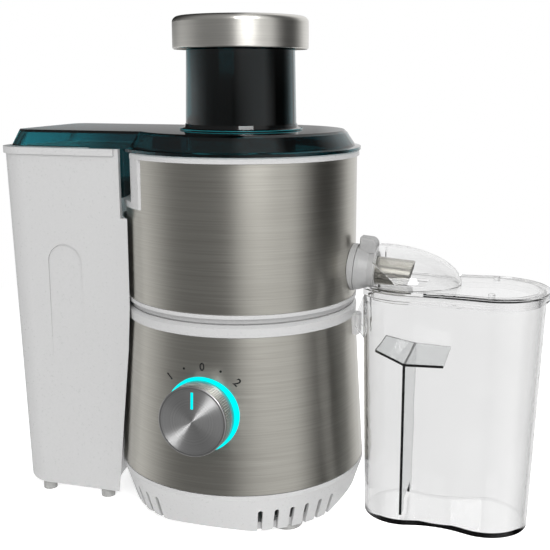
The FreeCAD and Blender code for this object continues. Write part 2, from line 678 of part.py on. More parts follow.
def lid():
    """Clear smoked lid: domed round cover, arm over the bin, feed chute and outlet guard."""
    t = LID_WALL
    skirt_z = RIM_Z + 0.2
    round_out = turned([(0, skirt_z), (LID_FLANGE_R, skirt_z), (LID_FLANGE_R, skirt_z + 2),
                        (LID_SKIRT_R, skirt_z + 2.6), (LID_TOP_R + 0.8, LID_Z - 1.6), (LID_TOP_R - 1.2, LID_Z),
                        (0, LID_Z)])
    round_in = turned([(0, skirt_z - 1), (BOWL_IN - 2.3, skirt_z - 1), (BOWL_IN - 2.3, skirt_z + 2),
                       (LID_TOP_R - t - 0.6, LID_Z - t), (0, LID_Z - t)])
    arm_z = BIN_TOP_Z + 0.5
    outer = fused([round_out, hood_block(0, arm_z, LID_Z)])
    inner = round_in.fuse(hood_block(-t, arm_z - 1, LID_Z - t))
    cover = outer.cut(inner).cut(block(-100, -50, -47.4, 47.4, skirt_z - 2, arm_z + 3))
    spigot = tube(BOWL_IN - 0.5, BOWL_IN - 2.3, RIM_Z - 5, skirt_z + 3)
    spigot = spigot.cut(block(-100, -40, -OUTLET_HALF - 2, OUTLET_HALF + 2, 240, 270))
    funnel = turned([(0, CHUTE_LOW_Z), (CHUTE_R - 0.6, CHUTE_LOW_Z), (CHUTE_R, LID_Z),
                     (CHUTE_R + 0.0, LID_Z + 4),
                     (CHUTE_TOP_R, CHUTE_TOP_Z), (0, CHUTE_TOP_Z)])
    foot = turned([(CHUTE_R - 1, LID_Z - 1), (CHUTE_R + 4, LID_Z - 1), (CHUTE_R + 4, LID_Z + 0.6),
                   (CHUTE_R + 1.2, LID_Z + 1.6), (CHUTE_R + 0.4, LID_Z + 4), (CHUTE_R - 1, LID_Z + 4)])
    guards = []
    for side in (-1, 1):
        plate = block(-92, -60.8, -49.4, -47.4, 222.4, arm_z + 3)
        plate = rounded(plate, 9, lambda e: e.BoundBox.YLength > 1.5 and e.CenterOfMass.z < 223)
        guards.append(plate if side < 0 else plate.mirror(V(0, 0, 0), V(0, 1, 0)))
    body = fused([cover, spigot, funnel, foot] + guards)
    return body.cut(disc(CHUTE_IN, CHUTE_LOW_Z - 1, CHUTE_TOP_Z + 1))


def lid_seal():
    """Soft ring in the lid's spigot, broken at the pulp outlet."""
    lips = [tube(BOWL_IN - 0.25, BOWL_IN - 0.5, z, z + 0.8) for z in (RIM_Z - 4.2, RIM_Z - 2.6)]
    gap = block(-100, -40, -OUTLET_HALF - 2, OUTLET_HALF + 2, 240, 270)
    return Part.makeCompound([lip.cut(gap) for lip in lips])


def pusher_body():
    """Hollow plunger, closed at its lower end."""
    shell = disc(PUSHER_R, PUSHER_LOW_Z, 323.0)
    shell = rounded(shell, 2.5, level(PUSHER_LOW_Z))
    return shell.cut(disc(PUSHER_R - 2, PUSHER_LOW_Z + 2.4, 324))


def pusher_cap_plate():
    """Moulded disc that joins the plunger to the steel cap."""
    plate = disc(CAP_R - 0.95, 323.0, 325.4)
    ring = tube(PUSHER_R - 2.1, PUSHER_R - 4, 317, 323.2)
    ribs = around(block(30, CAP_R - 1.4, -0.8, 0.8, 325.2, 336), 6)
    return fused([plate, ring] + ribs)


def pusher_cap():
    """Spun steel cap with rounded edges."""
    outer = disc(CAP_R, CAP_Z, CAP_TOP_Z)
    outer = rounded(outer, 4.0, level(CAP_TOP_Z))
    outer = rounded(outer, 1.2, level(CAP_Z))
    inner = disc(CAP_R - 0.9, CAP_Z - 1, CAP_TOP_Z - 0.9)
    inner = rounded(inner, 3.2, level(CAP_TOP_Z - 0.9))
    return outer.cut(inner)


# ---- pulp bin -------------------------------------------------------------------------------

def bin_block(inset, z_low):
    """The bin's outer form, or its inside when inset by the wall."""
    low = slab_outline(-BIN_X + BIN_DRAFT + inset, -40, BIN_HALF - BIN_SIDE_DRAFT - inset, 20 - inset, z_low)
    high = slab_outline(-BIN_X + inset, -40, BIN_HALF - inset, 20 - inset, BIN_TOP_Z + (1 if inset else 0))
    return Part.makeLoft([low, high], True, True)


def round_hollow(grow):
    """The hollow in the bin's near side, which curls round the base and bowl."""
    return turned([(0, -1)] + [(r + grow, z) for r, z in BIN_NEAR] + [(0, 300)])


def pulp_bin():
    """White bin with thin walls, an outer rim, a notch for the pulp and a finger hollow each side."""
    outer = bin_block(0, BIN_Z).cut(round_hollow(0))
    outer = rounded(outer, 5, lambda e: level(BIN_Z)(e) and e.BoundBox.XMin < -100)
    inner = bin_block(WALL, BIN_Z + WALL).cut(round_hollow(WALL))
    cup = outer.cut(inner)
    lip = bin_lip()
    cup = fused([cup, lip])
    cup = cup.cut(block(-68.4, 0, -80, 80, BIN_NOTCH_Z, 300))
    cup = cup.cut(block(-95, 0, -BIN_HALF + 3.2, BIN_HALF - 3.2, BIN_NOTCH_Z, 300))
    hollow = Part.makeCylinder(13, 3, V(0, 0, 0), V(0, 1, 0)).fuse(block(-13, 13, 0, 3, -90, 0))
    for side in (-1, 1):
        mark = hollow.copy()
        mark.translate(V(0, -3 if side < 0 else 0, 0))
        mark.rotate(V(0, 0, 0), V(1, 0, 0), side * 0.36)
        mark.translate(V(-112, side * (BIN_HALF - 1.8), 176))
        cup = cup.cut(mark)
    return cup


def bin_lip():
    """Band round the bin's top edge, on its three outer sides."""
    outline = slab_outline(-BIN_X - 1.6, -71.5, BIN_HALF + 1.6, 21.6, BIN_TOP_Z - 4.6)
    inside = slab_outline(-BIN_X + 1.2, -60, BIN_HALF - 1.2, 18.8, BIN_TOP_Z - 5)
    band = Part.Face(outline).extrude(V(0, 0, 4.6))
    return band.cut(Part.Face(inside).extrude(V(0, 0, 6)))


def bin_feet():
    return Part.makeCompound([disc(5, 0, BIN_Z, x, y) for x in (-140, -92) for y in (-41, 41)])


# ---- jug ------------------------------------------------------------------------------------

def two_lobes(grow, waist, z):
    """Closed outline of two round lobes with a waist: four arcs that run into each other."""
    r1, r2, rw = JUG_R1 + grow, JUG_R2 + grow, waist - grow
    span = JUG_X2 - JUG_X1
    a, b = r1 + rw, r2 + rw
    dx = (a * a - b * b + span * span) / (2 * span)
    dy = math.sqrt(a * a - dx * dx)
    edges = []
    touch = {}
    for side in (-1, 1):
        wx, wy = JUG_X1 + dx, side * dy
        t1 = V(JUG_X1 + r1 * dx / a, r1 * wy / a, z)
        t2 = V(JUG_X2 + r2 * (wx - JUG_X2) / b, r2 * wy / b, z)
        mid = math.atan2((t1.y + t2.y) / 2 - wy, (t1.x + t2.x) / 2 - wx)
        middle = V(wx + rw * math.cos(mid), wy + rw * math.sin(mid), z)
        touch[side] = (t1, middle, t2)
    front, back = touch[-1], touch[1]
    edges.append(Part.Arc(back[0], V(JUG_X1 - r1, 0, z), front[0]).toShape())
    edges.append(Part.Arc(*front).toShape())
    edges.append(Part.Arc(front[2], V(JUG_X2 + r2, 0, z), back[2]).toShape())
    edges.append(Part.Arc(back[2], back[1], back[0]).toShape())
    return Part.Wire(edges)


def jug_form(inset, z_low, z_high):
    low = two_lobes(-inset, JUG_WAIST, z_low)
    high = two_lobes(JUG_GROW - inset, JUG_TOP_WAIST, z_high)
    return Part.makeLoft([low, high], True, False)


def lobes_prism(grow, z0, z1):
    return Part.Face(two_lobes(JUG_GROW + grow, JUG_TOP_WAIST, z0)).extrude(V(0, 0, z1 - z0))


def jug():
    """Clear jug with a rolled rim, a dip in the rim for the spout and ears for the catch."""
    cup = jug_form(0, 0, JUG_Z).cut(jug_form(JUG_WALL, 3.0, JUG_Z + 0.01))
    rim = lobes_prism(RIM_OUT, JUG_Z - 4, JUG_Z).cut(lobes_prism(-0.4, JUG_Z - 5, JUG_Z + 1))
    ears = []
    for y in (-8.4, 6.4):
        loop = [V(x, y, z) for x, z in ((84.4, 141), (84.4, 134), (93, 124), (93, 156), (90, 156), (84.4, 141))]
        ears.append(Part.Face(Part.makePolygon(loop)).extrude(V(0, 2.0, 0)))
    body = fused([cup, rim] + ears)
    return body.cut(block(70, 101, -18, 18, 154.5, 180)).cut(jug_form(JUG_WALL, 3.0, JUG_Z + 0.01))


def jug_lid():
    """Clear lid: plate, inner skirt, clip nubs and the hood over the spout."""
    z0 = JUG_Z + 0.4
    plate = lobes_prism(RIM_OUT + 0.2, z0, z0 + 2.2)
    skirt = lobes_prism(-JUG_WALL - 0.6, z0 - 7, z0 + 0.2).cut(lobes_prism(-JUG_WALL - 2.4, z0 - 8, z0 + 0.1))
    shell = ellipsoid(0).common(lobes_prism(RIM_OUT - 0.2, z0, z0 + 40))
    hollow = ellipsoid(1.9).common(lobes_prism(RIM_OUT - 2.1, z0 - 1, z0 + 40))
    hood = shell.cut(block(0, HOOD_X, -60, 60, 0, 300))
    nubs = [disc(2.2, z0 + 2.0, z0 + 3.4, JUG_X2, y) for y in (-27, 27)]
    body = fused([plate, skirt, hood] + nubs)
    inside = hollow.common(block(HOOD_X - 1, 200, -60, 60, z0 + 2.2, 300))
    slot = block(70, HOOD_X + 0.5, -23, 23, z0 - 10, 300).fuse(block(90, 132, -12.5, 12.5, z0 - 10, z0 + 3))
    return body.cut(inside).cut(slot)


def ellipsoid(inset):
    ball = Part.makeSphere(1.0)
    matrix = FreeCAD.Matrix()
    matrix.scale(HOOD_LONG - inset, HOOD_HALF - inset, HOOD_HIGH - inset)
    matrix.move(V(HOOD_X, 0, JUG_Z + 2.6))
    return ball.transformGeometry(matrix)


def foam_separator():
    """Loose T-shaped baffle that holds the foam back when the jug is poured."""
    x, t, top = 121.0, 1.8, 116.0
    low, high = 23.4, 26.4
    loop = [(-low, 6), (-15, 6), (-15, 14), (15, 14), (15, 6), (low, 6), (high, top), (-high, top)]
    stem = Part.Face(Part.makePolygon([V(x, y, z) for y, z in loop + loop[:1]])).extrude(V(t, 0, 0))
    left = wing([(x + 0.9, high, top), (101.5, 18.6, top + 6)])
    right = wing([(x + 0.9, high, top), (147.5, 23.2, top)])
    return fused([stem, left, right])


def wing(ends):
    """Flat plate between two cross lines, each given as its x, half width and top."""
    (xa, ya, za), (xb, yb, zb) = ends
    loop = [V(xa, -ya, za), V(xb, -yb, zb), V(xb, yb, zb), V(xa, ya, za), V(xa, -ya, za)]
    return Part.Face(Part.makePolygon(loop)).extrude(V(0, 0, -1.8))


PARTS = {
    "base_housing": base_housing, "base_cladding": base_cladding, "base_skirt": base_skirt,
    "rubber_feet": rubber_feet, "base_screws": base_screws, "jug_catch": jug_catch,
    "cord_inlet": cord_inlet, "motor_stator": motor_stator, "field_coils": field_coils,
    "motor_bracket_upper": motor_bracket_upper, "motor_bracket_lower": motor_bracket_lower,
    "motor_mounts": motor_mounts, "bearing_upper": bearing_upper, "bearing_lower": bearing_lower,
    "brush_holders": brush_holders, "carbon_brushes": carbon_brushes, "motor_shaft": motor_shaft,
    "armature_core": armature_core, "armature_windings": armature_windings,
    "commutator": commutator, "cooling_fan": cooling_fan, "drive_coupling": drive_coupling,
    "shaft_seal": shaft_seal, "light_ring": light_ring, "knob_body": knob_body,
    "knob_face": knob_face, "knob_pointer": knob_pointer, "switch_spindle": switch_spindle,
    "rotary_switch": rotary_switch, "led_board": led_board, "control_board": control_board,
    "terminal_block": terminal_block, "interlock_switch": interlock_switch,
    "interlock_pin": interlock_pin, "bowl_shell": bowl_shell, "bowl_cladding": bowl_cladding,
    "bowl_band": bowl_band, "spout_bush": spout_bush, "spout_collar": spout_collar,
    "spout_nozzle": spout_nozzle, "spout_seal": spout_seal, "basket_hub": basket_hub,
    "filter_mesh": filter_mesh, "basket_rim": basket_rim, "grater_disc": grater_disc,
    "clamp_nut": clamp_nut, "lid": lid, "lid_seal": lid_seal, "pusher_body": pusher_body,
    "pusher_cap_plate": pusher_cap_plate, "pusher_cap": pusher_cap, "pulp_bin": pulp_bin,
    "bin_feet": bin_feet, "jug": jug, "jug_lid": jug_lid, "foam_separator": foam_separator,
}

os.makedirs("parts", exist_ok=True)
to_origin = V(-sum(FOOTPRINT_X) / 2, -sum(FOOTPRINT_Y) / 2, 0)
for name, make in PARTS.items():
    shape = make()
    shape.translate(to_origin)
    shape.exportStep("parts/" + name + ".step")
    box = shape.BoundBox
    print("%-20s solids %d valid %s volume %.0f x %.1f..%.1f y %.1f..%.1f z %.1f..%.1f" % (
        name, len(shape.Solids), shape.isValid(), shape.Volume,
        box.XMin, box.XMax, box.YMin, box.YMax, box.ZMin, box.ZMax))
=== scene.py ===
import math

import bpy
from mathutils import Matrix, Vector


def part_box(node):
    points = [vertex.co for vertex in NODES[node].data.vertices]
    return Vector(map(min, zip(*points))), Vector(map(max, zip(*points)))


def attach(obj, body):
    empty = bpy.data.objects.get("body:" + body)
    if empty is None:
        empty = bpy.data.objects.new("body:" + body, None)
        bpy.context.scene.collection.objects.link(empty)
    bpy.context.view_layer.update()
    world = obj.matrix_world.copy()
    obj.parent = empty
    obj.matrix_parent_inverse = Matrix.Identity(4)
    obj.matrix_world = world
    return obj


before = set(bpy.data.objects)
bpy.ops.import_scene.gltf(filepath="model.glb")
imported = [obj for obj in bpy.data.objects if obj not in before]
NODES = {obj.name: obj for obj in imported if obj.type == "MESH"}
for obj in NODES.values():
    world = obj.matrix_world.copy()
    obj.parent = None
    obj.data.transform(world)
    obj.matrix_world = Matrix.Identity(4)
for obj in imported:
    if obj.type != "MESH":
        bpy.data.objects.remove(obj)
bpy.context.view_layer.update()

# All sizes are in metres. The set stands on z = 0, with the spout and jug towards +X, the pulp
# bin towards -X and the control knob towards -Y.


# ---- studio ------------------------------------------------------------------------------------
# A white table in a white room with black screens to the left and right of the viewer, which give
# brushed steel its broad dark bands and clear and smoked plastic their drawn edges.

def set_stops(node, stops):
    """Gives a colour ramp node its (place, colour) stops."""
    ramp = node.color_ramp
    while len(ramp.elements) < len(stops):
        ramp.elements.new(0.5)
    for element, (place, colour) in zip(ramp.elements, stops):
        element.position = place
        element.color = colour


def add_node(tree, kind, settings=None, links=None, stops=()):
    """Adds a node, sets its properties, input values and ramp stops, and links outputs to its inputs."""
    node = tree.nodes.new(kind)
    for name, value in (settings or {}).items():
        if isinstance(name, str) and hasattr(node, name):
            setattr(node, name, value)
        else:
            node.inputs[name].default_value = value
    for name, source in (links or {}).items():
        tree.links.new(source, node.inputs[name])
    if stops:
        set_stops(node, stops)
    return node


def srgb(hex_code):
    """An sRGB hex value as linear red, green, blue and 1."""
    channels = [int(hex_code[k:k + 2], 16) / 255 for k in (0, 2, 4)]
    linear = [c / 12.92 if c <= 0.04045 else ((c + 0.055) / 1.055) ** 2.4 for c in channels]
    return (*linear, 1.0)


# compass angle in degrees from +Y, clockwise seen from above, and the brightness of the wall there
LOW_WALL = [(-180, 0.16), (-140, 0.18), (-125, 0.25), (-108, 0.55), (-88, 0.85), (-75, 0.8),
            (-58, 0.55), (-40, 0.7), (0, 0.95), (30, 0.8), (50, 0.15), (62, 0.03), (84, 0.03),
            (98, 0.4), (112, 0.76), (135, 0.66), (150, 0.5), (163, 0.32), (176, 0.12), (180, 0.14)]
HIGH_WALL = [(-180, 0.3), (-110, 0.25), (-70, 0.10), (-50, 0.02), (-13.5, 0.03), (-11, 0.95),
             (30, 0.9), (60, 0.10), (96, 0.10), (112, 0.7), (160, 0.7), (180, 0.3)]

world = bpy.data.worlds.new("studio_room")
bpy.context.scene.world = world
world.use_nodes = True
room = world.node_tree
room.nodes.clear()
way = add_node(room, "ShaderNodeTexCoord")
split = add_node(room, "ShaderNodeSeparateXYZ", links={0: way.outputs["Generated"]})
turn = add_node(room, "ShaderNodeMath", {"operation": "ARCTAN2"},
                {0: split.outputs[0], 1: split.outputs[1]})
share = add_node(room, "ShaderNodeMapRange", {"From Min": -math.pi, "From Max": math.pi},
                 {"Value": turn.outputs[0]})
glows = []
for wall in (LOW_WALL, HIGH_WALL):
    shade = add_node(room, "ShaderNodeValToRGB", links={"Fac": share.outputs["Result"]},
                     stops=[((a + 180) / 360, (v, v, v, 1.0)) for a, v in wall])
    glows.append(add_node(room, "ShaderNodeBackground", {"Strength": 1.0},
                          {"Color": shade.outputs["Color"]}))
height = add_node(room, "ShaderNodeMapRange", {"From Min": 0.01, "From Max": 0.08},
                  {"Value": split.outputs[2]})
walls = add_node(room, "ShaderNodeMixShader", links={
    0: height.outputs["Result"], 1: glows[0].outputs[0], 2: glows[1].outputs[0]})
# the eye itself sees a plain white room
plain = add_node(room, "ShaderNodeBackground", {"Color": (1, 1, 1, 1), "Strength": 1.0})
seen = add_node(room, "ShaderNodeLightPath")
both = add_node(room, "ShaderNodeMixShader", links={
    0: seen.outputs["Is Camera Ray"], 1: walls.outputs[0], 2: plain.outputs[0]})
add_node(room, "ShaderNodeOutputWorld", links={0: both.outputs[0]})


def soft_light(name, place, target, size, power, glossy):
    """A rectangular lamp; only a glossy one is mirrored by the object."""
    lamp = bpy.data.lights.new(name, "AREA")
    lamp.shape = "RECTANGLE"
    lamp.size, lamp.size_y = size
    lamp.energy = power
    holder = bpy.data.objects.new(name, lamp)
    bpy.context.scene.collection.objects.link(holder)
    aim = Vector(target) - Vector(place)
    holder.matrix_world = Matrix.Translation(place) @ aim.to_track_quat("-Z", "Y").to_matrix().to_4x4()
    holder.visible_glossy = glossy


soft_light("lamp_above", (0.0, -0.1, 1.5), (0, 0, 0.1), (1.8, 1.6), 9, False)
soft_light("lamp_ahead", (-0.35, -1.5, 0.7), (0, 0, 0.15), (1.0, 0.9), 5, False)
soft_light("lamp_right", (0.62, -1.15, 0.95), (0, 0, 0.1), (0.7, 0.7), 12, True)

TABLE_SIZE = 30
TABLE_GAP = 0.0004
bpy.ops.object.select_all(action="DESELECT")
bpy.ops.mesh.primitive_plane_add(size=TABLE_SIZE, location=(0, 0, -TABLE_GAP))
table = bpy.context.object
table.name = "table_top"
# white laminate: soft grey contact shadows near the set, plain white beyond
paint = bpy.data.materials.new("white_laminate")
paint.use_nodes = True
tree = paint.node_tree
tree.nodes.clear()
where = add_node(tree, "ShaderNodeTexCoord")
far = add_node(tree, "ShaderNodeVectorMath", {"operation": "LENGTH"}, {0: where.outputs["Object"]})
fade = add_node(tree, "ShaderNodeMapRange", {"From Min": 0.32, "From Max": 0.8},
                {"Value": far.outputs["Value"]})
matt = add_node(tree, "ShaderNodeBsdfDiffuse", {"Color": srgb("F4F4F4")})
lit = add_node(tree, "ShaderNodeEmission", {"Color": (1, 1, 1, 1), "Strength": 0.6})
near = add_node(tree, "ShaderNodeAddShader", links={0: matt.outputs[0], 1: lit.outputs[0]})
white = add_node(tree, "ShaderNodeEmission", {"Color": (1, 1, 1, 1), "Strength": 1.0})
top = add_node(tree, "ShaderNodeMixShader", links={
    0: fade.outputs["Result"], 1: near.outputs[0], 2: white.outputs[0]})
add_node(tree, "ShaderNodeOutputMaterial", links={0: top.outputs[0]})
table.data.materials.append(paint)
# the steel and the clear jug show the room's walls in place of the table
table.visible_glossy = False
table.visible_transmission = False

EYE = Vector((0.18346, -0.60868, 0.30230))
GAZE = Vector((-0.27982, 0.93685, -0.20979))
lens = bpy.data.cameras.new("camera")
lens.sensor_width = 36
lens.lens = 60.4
lens.clip_start = 0.01
camera = bpy.data.objects.new("camera", lens)
bpy.context.scene.collection.objects.link(camera)
camera.matrix_world = Matrix.Translation(EYE) @ GAZE.to_track_quat("-Z", "Y").to_matrix().to_4x4()
bpy.context.scene.camera = camera
bpy.context.scene.view_settings.view_transform = "Standard"


# ---- motor base --------------------------------------------------------------------------------
# White ABS housing and skirt with a brushed steel sleeve slid over it, on four rubber feet; the
# sleeve is brushed round the axis, so its reflections stand up as soft vertical bands.

def surface(name, dark, light, grain, rough, stretch=(1, 1, 1), bump=0.0, around=None, **sockets):
    """Principled material whose colour and roughness drift with a noise of the given grain in mm.

    Stretch packs the noise closer along an axis, which draws brushing lines across it. Around names
    the axis that a metal is brushed round.
    """
    material = bpy.data.materials.new(name)
    material.use_nodes = True
    tree = material.node_tree
    tree.nodes.clear()
    where = add_node(tree, "ShaderNodeTexCoord")
    size = add_node(tree, "ShaderNodeMapping", {"Scale": [1000 / grain * s for s in stretch]},
                    {"Vector": where.outputs["Object"]})
    noise = add_node(tree, "ShaderNodeTexNoise", {"Scale": 1.0, "Detail": 3.0},
                     {"Vector": size.outputs[0]})
    tint = add_node(tree, "ShaderNodeValToRGB", {"name": "tint"}, {"Fac": noise.outputs["Fac"]},
                    stops=[(0.3, srgb(dark)), (0.7, srgb(light))])
    sheen = add_node(tree, "ShaderNodeMapRange",
                     {"From Min": 0.3, "From Max": 0.7, "To Min": rough[0], "To Max": rough[1]},
                     {"Value": noise.outputs["Fac"]})
    links = {"Base Color": tint.outputs["Color"], "Roughness": sheen.outputs["Result"]}
    if bump:
        relief = add_node(tree, "ShaderNodeBump", {"Strength": bump, "Distance": 0.0002},
                          {"Height": noise.outputs["Fac"]})
        links["Normal"] = relief.outputs["Normal"]
    if around:
        tangent = add_node(tree, "ShaderNodeTangent", {"direction_type": "RADIAL", "axis": around})
        links["Tangent"] = tangent.outputs["Tangent"]
        sockets["Anisotropic Rotation"] = 0.25
    shader = add_node(tree, "ShaderNodeBsdfPrincipled",
                      {key.replace("_", " "): value for key, value in sockets.items()}, links)
    add_node(tree, "ShaderNodeOutputMaterial", links={0: shader.outputs[0]})
    return material


def dress(material, slot, *names):
    """Gives CAD nodes a material; the slot is not used."""
    for name in names:
        node = NODES[name]
        node.data.materials.clear()
        node.data.materials.append(material)


# moulded white ABS: an even satin skin with a faint grain, grey-white and never quite pure
white_abs = surface("white_abs", "B2B2B2", "B5B5B5", 1.6, (0.27, 0.32), bump=0.012)
# stainless sheet brushed round the axis: warm grey, its lines drawn coarser than the real 0.1 mm
brushed_steel = surface("brushed_stainless", "BBB8B0", "C9C7BF", 60, (0.30, 0.34), (1, 1, 70),
                        0.012, "Z", Metallic=1.0, Anisotropic=0.55)
# soft grey rubber: matt, faintly mottled
grey_rubber = surface("grey_rubber", "8E8E8C", "A2A2A0", 2.5, (0.65, 0.8), bump=0.1)
# turned and plated steel: bright with soft reflections
plated_steel = surface("plated_steel", "B4B4B2", "C8C8C6", 8, (0.18, 0.3), Metallic=1.0)
# black moulded nylon of inner and small parts: low sheen
black_nylon = surface("black_nylon", "141415", "202022", 1.5, (0.38, 0.52), bump=0.08)
dress(white_abs, "white_plastic", "base_housing", "base_skirt", "jug_catch")
dress(brushed_steel, "brushed_steel", "base_cladding")
dress(grey_rubber, "rubber", "rubber_feet", "motor_mounts", "shaft_seal")
dress(plated_steel, "bright_steel", "base_screws")
dress(black_nylon, "black_plastic", "cord_inlet")


# ---- motor and switchgear ----------------------------------------------------------------------
# A brushed universal motor in two cast brackets, and the boards and switches, all inside the base;
# copper enamel, varnished steel, cast aluminium, and green boards.

# enamelled copper wire: a fine wound ripple
copper = surface("enamelled_copper", "8A4420", "B8622E", 3, (0.3, 0.45), (1, 1, 6), 0.2, Metallic=1.0)
# varnished laminations: dark layered steel
laminations = surface("varnished_laminations", "2C2C2E", "48484A", 2, (0.4, 0.55), (1, 1, 8),
                      Metallic=0.8)
# die-cast aluminium: pale, grainy
castings = surface("cast_aluminium", "8C8C8A", "A6A6A4", 2, (0.4, 0.6), bump=0.2, Metallic=1.0)
# sintered carbon: dull black
carbon = surface("sintered_carbon", "121212", "1E1E1E", 0.8, (0.6, 0.8))
# solder mask over copper tracks: glossy green
solder_mask = surface("solder_mask", "0A4A20", "11602C", 5, (0.3, 0.4))
# red moulded nylon of the interlock pin: satin
red_nylon = surface("red_nylon", "A83418", "BC4020", 2, (0.35, 0.5))
dress(laminations, "motor_steel", "motor_stator", "armature_core")
dress(copper, "copper_wire", "field_coils", "armature_windings", "commutator")
dress(castings, "cast_aluminium", "motor_bracket_upper", "motor_bracket_lower")
dress(plated_steel, "bright_steel", "bearing_upper", "bearing_lower", "motor_shaft")
dress(carbon, "carbon", "carbon_brushes")
dress(solder_mask, "board", "led_board", "control_board")
dress(red_nylon, "pin_plastic", "interlock_pin")
dress(black_nylon, "black_plastic", "brush_holders", "rotary_switch", "terminal_block",
      "interlock_switch", "switch_spindle", "cooling_fan", "drive_coupling")


# ---- control knob and light ring ---------------------------------------------------------------
# Turned aluminium knob with a finely fluted grip and a spun face, over a lit acrylic ring; a lit
# bar is let into the face as the pointer.

# satin anodised aluminium: pale grey sides that follow the room
knob_satin = surface("satin_aluminium", "B6B6B6", "BEBEBE", 12, (0.3, 0.34), Metallic=1.0)
# spun aluminium face: rings round the centre that gather light into two bright sectors
low_corner, high_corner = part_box("knob_face")
face_metal = bpy.data.materials.new("spun_aluminium")
face_metal.use_nodes = True
tree = face_metal.node_tree
tree.nodes.clear()
where = add_node(tree, "ShaderNodeTexCoord")
centred = add_node(tree, "ShaderNodeMapping",
                   {"Location": (-(low_corner[0] + high_corner[0]) / 2, 0,
                                 -(low_corner[2] + high_corner[2]) / 2)},
                   {"Vector": where.outputs["Object"]})
flat = add_node(tree, "ShaderNodeVectorMath", {"operation": "MULTIPLY", 1: (1, 0, 1)},
                {0: centred.outputs[0]})
radius = add_node(tree, "ShaderNodeVectorMath", {"operation": "LENGTH"}, {0: flat.outputs[0]})
# rings about 0.9 mm apart, drawn coarser than real turning marks
rings = add_node(tree, "ShaderNodeTexNoise", {"noise_dimensions": "1D", "Scale": 1100.0, "Detail": 2.0},
                 {"W": radius.outputs["Value"]})
shade = add_node(tree, "ShaderNodeValToRGB", links={"Fac": rings.outputs["Fac"]},
                 stops=[(0.3, srgb("D0D0D0")), (0.7, srgb("DCDCDC"))])
relief = add_node(tree, "ShaderNodeBump", {"Strength": 0.06, "Distance": 0.0002},
                  {"Height": rings.outputs["Fac"]})
tangent = add_node(tree, "ShaderNodeTangent", {"direction_type": "RADIAL", "axis": "Y"})
spun = add_node(tree, "ShaderNodeBsdfPrincipled",
                {"Metallic": 1.0, "Roughness": 0.4, "Anisotropic": 1.0, "Anisotropic Rotation": 0.25},
                {"Base Color": shade.outputs["Color"], "Normal": relief.outputs["Normal"],
                 "Tangent": tangent.outputs["Tangent"]})
add_node(tree, "ShaderNodeOutputMaterial", links={0: spun.outputs[0]})

# lit acrylic: pure cyan to the eye, drifting a little in strength over each 11 mm
glow = bpy.data.materials.new("lit_acrylic")
glow.use_nodes = True
tree = glow.node_tree
tree.nodes.clear()
where = add_node(tree, "ShaderNodeTexCoord")
size = add_node(tree, "ShaderNodeMapping", {"Scale": (90, 90, 90)}, {"Vector": where.outputs["Object"]})
drift = add_node(tree, "ShaderNodeTexNoise", {"Scale": 1.0}, {"Vector": size.outputs[0]})
level = add_node(tree, "ShaderNodeMapRange", {"To Min": 0.95, "To Max": 1.15},
                 {"Value": drift.outputs["Fac"]})
lamp_glow = add_node(tree, "ShaderNodeEmission", {"Color": (0.0, 1.0, 1.0, 1.0)},
                     {"Strength": level.outputs["Result"]})
add_node(tree, "ShaderNodeOutputMaterial", links={0: lamp_glow.outputs[0]})
dress(knob_satin, "knob_metal", "knob_body")
dress(face_metal, "spun_aluminium", "knob_face")
dress(glow, "glow_ring", "light_ring", "knob_pointer")
# the ring stays bright itself and spills little light on the sleeve
NODES["light_ring"].visible_diffuse = False


# ---- dial marks --------------------------------------------------------------------------------
# Black printed numerals and dots on the steel round the knob, a tenth of a millimetre of ink laid
# on the curved sleeve.

# screen-printed ink: dense satin black with a trace of unevenness
ink = surface("printed_ink", "0C0C0C", "161616", 0.6, (0.45, 0.6))
SPINDLE = Vector((-0.02435, 0.00525, 0.0))
KNOB_Z = 0.0882
MARKS_Y = -0.11
CAPITAL_SHARE = 0.72
NUMERAL_HEIGHT = 0.0052
DOT_RADIUS = 0.0008
# sign, angle round the knob in degrees, and distance from its centre
DIAL = [("1", -47, 0.0323), ("dot", -24, 0.0318), ("0", 0, 0.0313), ("dot", 23, 0.0318),
        ("2", 46, 0.0318)]
for number, (sign, angle, reach) in enumerate(DIAL):
    a = math.radians(angle)
    spot = Vector((SPINDLE.x + reach * math.sin(a), MARKS_Y, KNOB_Z + reach * math.cos(a)))
    bpy.ops.object.select_all(action="DESELECT")
    if sign == "dot":
        bpy.ops.mesh.primitive_circle_add(vertices=24, radius=DOT_RADIUS, fill_type="TRIFAN",
                                          location=spot, rotation=(math.pi / 2, 0, 0))
    else:
        bpy.ops.object.text_add(location=spot, rotation=(math.pi / 2, a, 0))
        text = bpy.context.object.data
        text.body = sign
        text.size = NUMERAL_HEIGHT / CAPITAL_SHARE
        text.align_x = "CENTER"
        text.align_y = "CENTER"
        text.resolution_u = 6
        text.offset = 0.00016
        bpy.ops.object.convert(target="MESH")
    mark = bpy.context.object
    mark.name = f"dial_mark_{number + 1}"
    bpy.ops.object.transform_apply(location=True, rotation=True, scale=True)
    wrap = mark.modifiers.new("onto_sleeve", "SHRINKWRAP")
    wrap.target = NODES["base_cladding"]
    wrap.wrap_method = "PROJECT"
    wrap.use_project_x = wrap.use_project_z = False
    wrap.use_project_y = True
    wrap.use_positive_direction = True
    wrap.offset = 0.00006
    bpy.ops.object.modifier_apply(modifier="onto_sleeve")
    thick = mark.modifiers.new("ink_layer", "SOLIDIFY")
    thick.thickness = 0.00008
    thick.offset = 0
    bpy.ops.object.modifier_apply(modifier="ink_layer")
    mark.data.materials.clear()
    mark.data.materials.append(ink)
    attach(mark, "base")


# ---- juice bowl --------------------------------------------------------------------------------
# White moulded bowl with a brushed steel sleeve pressed over it, and a satin grey band clipped on
# below, where the bowl meets the base.

